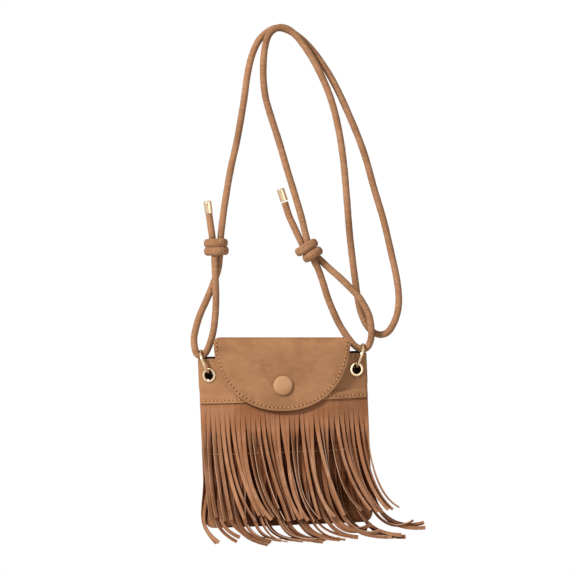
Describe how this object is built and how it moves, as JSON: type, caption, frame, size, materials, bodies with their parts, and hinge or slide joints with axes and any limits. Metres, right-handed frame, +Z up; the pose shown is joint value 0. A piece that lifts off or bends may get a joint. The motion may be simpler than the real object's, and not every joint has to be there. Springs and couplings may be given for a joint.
{
  "type": "fringed suede bag",
  "caption": "Flat tan suede crossbody bag with a rounded snap flap, two layers of cut fringe, gold eyelets and rings and a knotted suede cord strap.",
  "frame": {"origin": "the point that the bag hangs from: the underside of the top of the strap's bend", "axes": "+Z up along the hanging line, +X across the bag to the right in the picture, -Y out of the fringed front"},
  "size_m": [0.2698, 0.0391, 0.6021],
  "materials": {
    "suede": "napped matte",
    "suede_flap": "napped matte",
    "suede_fringe": "napped matte",
    "suede_cord": "napped matte",
    "lining": "woven matte",
    "gold": "polished pale gold plate"
  },
  "bodies": {
    "bag": {"back_lining": "lining", "back_panel": "suede", "front_lining": "lining", "front_panel": "suede", "front_band": "suede", "fringe_upper": "suede_fringe", "fringe_lower": "suede_fringe", "flap_root": "suede", "snap_stud": "gold", "eyelet_left": "gold", "eyelet_right": "gold", "eyelet_washer_left": "gold", "eyelet_washer_right": "gold", "strap_cord": "suede_cord", "strap_loop_left": "suede_cord", "strap_loop_right": "suede_cord", "strap_knot_left": "suede_cord", "strap_knot_right": "suede_cord", "strap_tail_left": "suede_cord", "strap_tail_right": "suede_cord", "cord_tip_left": "gold", "cord_tip_right": "gold"},
    "flap": {"flap": "suede_flap", "flap_lining": "lining", "snap_cap": "suede_flap", "snap_socket": "gold"},
    "ring_left": {"ring_left": "gold"},
    "ring_right": {"ring_right": "gold"}
  },
  "joints": [
    {"name": "flap_hinge", "type": "hinge", "parent": "bag", "child": "flap", "pos_m": [0.0023, -0.00276, -0.3484], "axis": [-1, 0, 0], "range_deg": [0, 140]},
    {"name": "ring_left_turn", "type": "hinge", "parent": "bag", "child": "ring_left", "pos_m": [-0.08519, 0.006, -0.37709], "axis": [0.9182, -0.1392, 0.371], "continuous": true},
    {"name": "ring_right_turn", "type": "hinge", "parent": "bag", "child": "ring_right", "pos_m": [0.09045, 0.006, -0.3701], "axis": [0.9458, 0.1045, -0.3073], "continuous": true}
  ]
}
